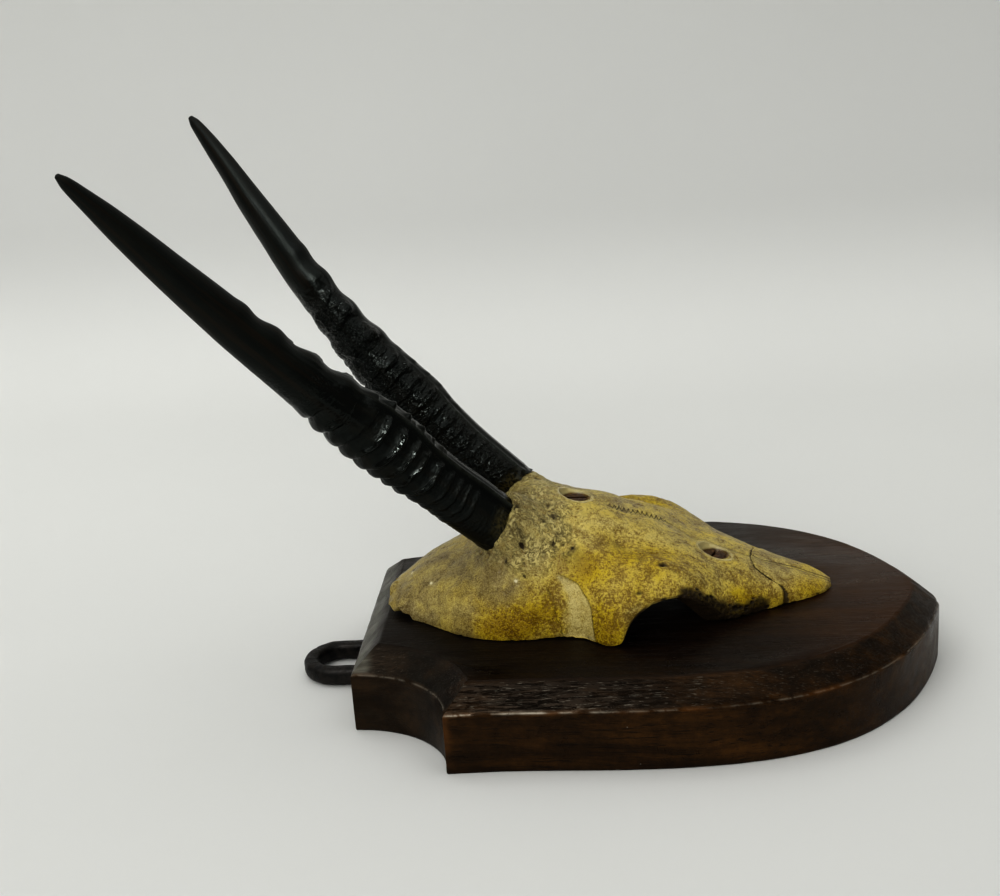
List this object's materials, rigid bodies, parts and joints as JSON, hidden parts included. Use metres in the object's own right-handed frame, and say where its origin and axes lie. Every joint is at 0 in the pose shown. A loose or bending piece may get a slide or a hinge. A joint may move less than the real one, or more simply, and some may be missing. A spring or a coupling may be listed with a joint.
{
  "type": "duiker horns on shield",
  "caption": "Pair of ringed duiker horns on a cut skull plate, screwed to a dark wooden shield with an iron hanging loop.",
  "frame": {"origin": "middle of the shield's back", "axes": "+Z out of the shield's face, up as it lies; +X from the hanging loop to the shield's point, the way the animal's nose points; +Y to the animal's left"},
  "size_m": [0.2152, 0.1224, 0.1585],
  "materials": {
    "wood": "dark stained, satin varnish",
    "iron": "black, slightly rough",
    "bone": "yellow-stained bone, light varnish",
    "horn": "black polished horn",
    "brass": "dull and brown",
    "steel": "darkened"
  },
  "bodies": {
    "root": {"plaque": "wood", "hanger": "iron", "skull": "bone", "horn_right": "horn", "horn_left": "horn", "skull_screw_1": "brass", "skull_screw_2": "brass", "strap_screw_1": "steel", "strap_screw_2": "steel"}
  },
  "joints": []
}
